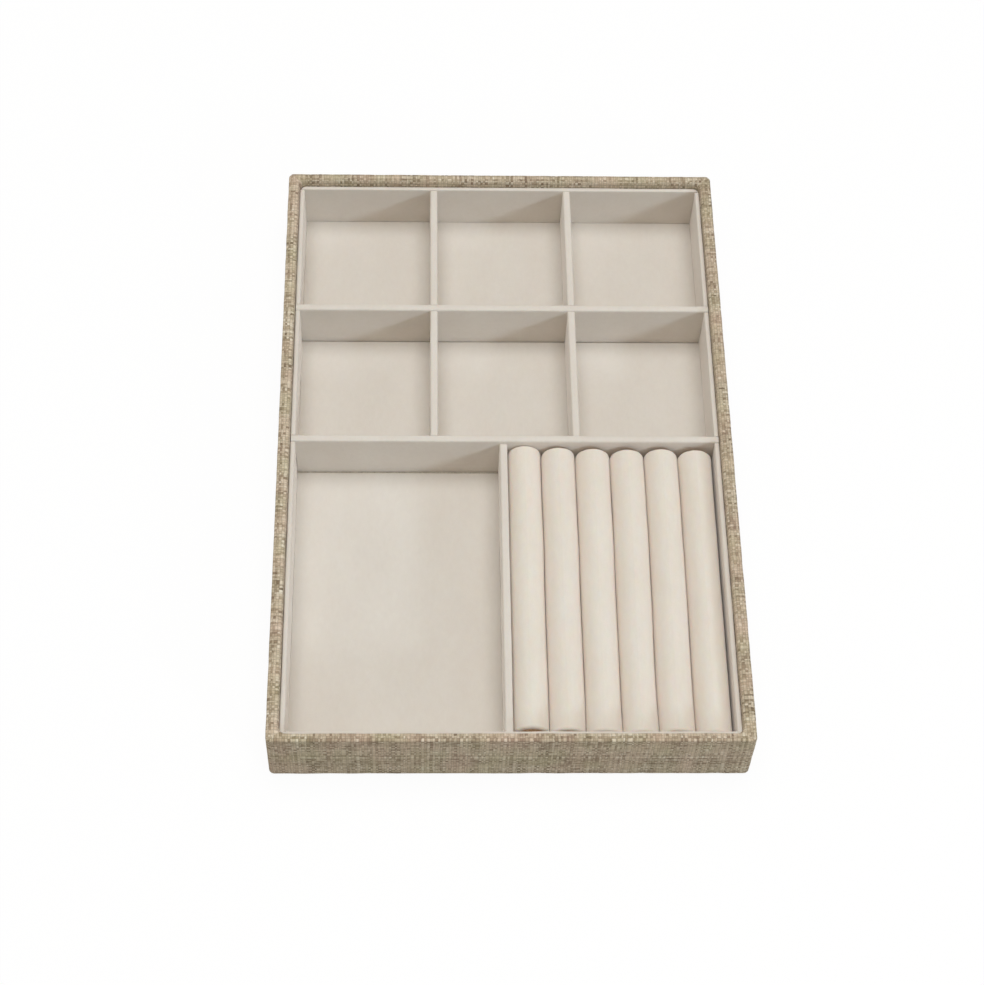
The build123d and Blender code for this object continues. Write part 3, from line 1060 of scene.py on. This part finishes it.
for number, name in enumerate(floorNames):
    words = name.split("_")
    pieceName = words[0] + "".join(word.title() for word in words[1:]) + "FloorCover"
    isLarge = name == "large"
    isSecondRow = words[0] == "second"
    firstSalt, nextSalt = floorCovers["waveSalts"]
    salt = firstSalt + nextSalt * number
    coverFloor(pieceName, f"{name}_floor_velvet", salt, isLarge or isSecondRow, isLarge)
print("floors are covered")


# Ring rolls

ringRolls = {
    "count": 6,
    "sleeveThickness": 0.6 * mm,
    "topSteps": 10,
    "topShare": 0.9999,  # of the half width: a full half would leave points on top of each other
    "footRadius": 3.0 * mm,
    "footSteps": 4,
    "endRadius": 1.5 * mm,
    "endSteps": 4,
    "hem": 2.0 * mm,
    "seamGap": 0.6 * mm,
    "seamZone": 2.0 * mm,  # how high over the foot the seam's cut is looked for
    "grid": 5.0 * mm,
    "waves": ((26 * mm, 0.14 * mm), (8 * mm, 0.05 * mm)),
    "waveSalts": (40, 3.3),  # where the rolls' salts start, and what each roll adds
    "fullness": 0.03 * mm,  # how far the sides swell out to the next roll
    "fullHeight": 6.0 * mm,  # over this height the swelling grows from nothing
    "footClear": 0.13 * mm,  # the pile under a roll is pressed in this far
    "sway": 0.45 * mm,
    "swayReach": 55.0 * mm,
    "swayMargin": 18.0 * mm,  # over this distance from the bay's sides the sway grows
    "swaySalt": (3.1, 8.4, 0),
    "puckers": 0.16 * mm,
    "puckerReach": 1.6 * mm,
    "puckerLength": 2.2 * mm,
    "foamCrown": 0.35 * mm,
    "foamCrownRim": 1.6 * mm,  # the edge of each cut end that stays flat
    "firmness": 0.95,
}


def shapeStrip(name, low, high, footRadius):
    # a strip with a half-round top and a rounded foot
    values = ringRolls
    piece = addBlock(name, low, high)
    startEdit(piece)
    isLong = lambda a, b: abs(a.y - b.y) > hair
    half = (high.x - low.x) / 2
    isTop = lambda a, b: isLong(a, b) and a.z > high.z - hair
    bevelEdges(piece, isTop, half * values["topShare"], values["topSteps"])
    isFoot = lambda a, b: isLong(a, b) and a.z < low.z + hair
    bevelEdges(piece, isFoot, footRadius, values["footSteps"])
    bpy.ops.mesh.select_all(action="SELECT")
    bpy.ops.mesh.remove_doubles(threshold=sameSpot)
    return piece


def shapeSleeve(name, low, high):
    values = ringRolls
    middleX = (low.x + high.x) / 2
    piece = shapeStrip(name, low, high, values["footRadius"])
    atEnd = lambda y: onPlane(y, low.y) or onPlane(y, high.y)
    sameEnd = lambda a, b: atEnd(a.y) and onPlane(a.y, b.y)
    bevelEdges(piece, sameEnd, values["endRadius"], values["endSteps"])
    # the hem: what is left of each end face around the foam
    pick(piece, "FACE", lambda middle, normal: abs(normal.y) > squareOn)
    bpy.ops.mesh.inset(thickness=values["hem"] - values["endRadius"], use_individual=True)
    bpy.ops.mesh.delete(type="FACE")
    ends = (low.y + values["endRadius"], high.y - values["endRadius"])
    cutAt(piece, 1, evenCuts(*ends, values["grid"]))
    shoulder = high.z - (high.x - low.x) / 2
    cutAt(piece, 2, evenCuts(low.z + values["footRadius"], shoulder, values["grid"]))
    gap = values["seamGap"] / 2
    cutAt(piece, 0, (middleX - gap, middleX + gap))
    foot = low.z + values["seamZone"]
    removeFaces(piece, lambda middle, normal: abs(middle.x - middleX) < gap and middle.z < foot)
    endEdit()
    return piece


def swellAndSway(piece, low, high):
    # the sides press on the neighbours, and all rolls lean the same way where they touch
    values = ringRolls
    bayLow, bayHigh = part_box("ring_bay_floor_velvet")
    middle = (low.x + high.x) / 2
    half = (high.x - low.x) / 2
    for vertex in piece.data.vertices:
        point = vertex.co
        side = (point.x - middle) / half
        rise = max(0, min(1, (point.z - low.z) / values["fullHeight"]))
        point.x += values["fullness"] * side * rise
        inside = min(point.x - bayLow.x, bayHigh.x - point.x) / values["swayMargin"]
        place = Vector((point.x, point.y, 0)) / values["swayReach"]
        lean = noise.noise(place + Vector(values["swaySalt"]))
        point.x += values["sway"] * lean * max(0, min(1, inside))
        point.z = max(point.z, low.z + values["footClear"])


def puckerEnds(piece, low, high, salt):
    # the drawn-in cloth at each end lies in small uneven pleats
    values = ringRolls
    reach, length = values["puckerReach"], values["puckerLength"]
    for vertex in piece.data.vertices:
        point = vertex.co
        fromEnd = min(point.y - low.y, high.y - point.y)
        if fromEnd < reach:
            wave = noise.noise(Vector((point.x / length, salt, point.z / length)))
            point += vertex.normal * values["puckers"] * wave * (1 - fromEnd / reach)


def shapeFoam(name, low, high):
    values = ringRolls
    piece = shapeStrip(name, low, high, values["footRadius"] - values["sleeveThickness"])
    pick(piece, "FACE", lambda middle, normal: abs(normal.y) > squareOn)
    bpy.ops.mesh.inset(thickness=values["foamCrownRim"], use_individual=True)
    # the cut ends stand a little proud in the sleeve's windows
    centre = (low + high) / 2
    nearCentre = 2 * values["foamCrownRim"]
    for end, out in ((high.y, 1), (low.y, -1)):
        def isCutEnd(middle, normal):
            inMiddle = abs(middle.x - centre.x) < hair and abs(middle.z - centre.z) < nearCentre
            return inMiddle and onPlane(middle.y, end) and normal.y * out > squareOn
        pick(piece, "FACE", isCutEnd)
        bpy.ops.transform.translate(value=(0, out * values["foamCrown"], 0))
    cutAt(piece, 1, evenCuts(low.y, high.y, 2 * values["grid"]))
    endEdit()
    return piece


def makeRolls():
    values = ringRolls
    sleeveBox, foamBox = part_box("ring_roll_1_sleeve"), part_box("ring_roll_1_foam")
    firstSleeve = shapeSleeve("ringRoll1Sleeve", *sleeveBox)
    firstFoam = shapeFoam("ringRoll1Foam", *foamBox)
    for number in range(values["count"], 0, -1):
        body = f"ring_roll_{number}"
        low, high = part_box(body + "_sleeve")
        move = Matrix.Translation(low - sleeveBox[0])
        for first, part, material, slot in ((firstSleeve, "Sleeve", rollVelvet, "roll_velvet"),
                                            (firstFoam, "Foam", foam, "foam")):
            piece = first
            if number > 1:
                piece = first.copy()
                piece.data = first.data.copy()
                piece.name = piece.data.name = f"ringRoll{number}{part}"
                bpy.context.scene.collection.objects.link(piece)
                piece.data.transform(move)
            salt = values["waveSalts"][0] + values["waveSalts"][1] * number
            waver(piece, values["waves"], salt)
            swellAndSway(piece, low, high)
            if part == "Sleeve":
                puckerEnds(piece, low, high, salt)
                thicken(piece, values["sleeveThickness"])
            shadeSoftly(piece)
            handOver(piece, material, body, f"{body}_{part.lower()}")


makeRolls()
print("ring rolls are in")


# The felt under the base

baseFelt = {
    "cornerRadius": 5.0 * mm,
    "cornerSteps": 6,
    "edgeRadius": 0.25 * mm,
    "edgeSteps": 2,
    "plateInset": 16.8 * mm,  # from the sheet's edge to the part that fills the linen's window
    "sheet": 0.6 * mm,
    "grid": 6.0 * mm,
    "waveLength": 7.0 * mm,
    "waveHeight": 0.05 * mm,
}


def makeBaseFelt():
    values = baseFelt
    low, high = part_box("base_felt")
    sheetTop = low.z + values["sheet"]
    piece = addBlock("baseFeltSheet", low, Vector((high.x, high.y, sheetTop)))
    startEdit(piece)
    isUpright = lambda a, b: abs(a.z - b.z) > hair
    bevelEdges(piece, isUpright, values["cornerRadius"], values["cornerSteps"])
    pick(piece, "FACE", lambda middle, normal: normal.z > facing)
    bpy.ops.mesh.inset(thickness=values["plateInset"])
    bpy.ops.mesh.extrude_region_move(TRANSFORM_OT_translate={"value": (0, 0, high.z - sheetTop)})
    rim = lambda a, b: onPlane(a.z, low.z) and onPlane(b.z, low.z)
    bevelEdges(piece, rim, values["edgeRadius"], values["edgeSteps"])
    cutAt(piece, 0, evenCuts(low.x, high.x, values["grid"]))
    cutAt(piece, 1, evenCuts(low.y, high.y, values["grid"]))
    endEdit()
    for vertex in piece.data.vertices:
        if vertex.co.z > low.z + hair:
            vertex.co.z += values["waveHeight"] * noise.noise(vertex.co / values["waveLength"])
    shadeSoftly(piece)
    handOver(piece, felt, "tray", "base_felt")


makeBaseFelt()
print("felt is under the base")


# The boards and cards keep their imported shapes

for name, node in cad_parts.items():
    if name.endswith(("_board", "_card")):
        for slot in node.material_slots:
            slot.material = board
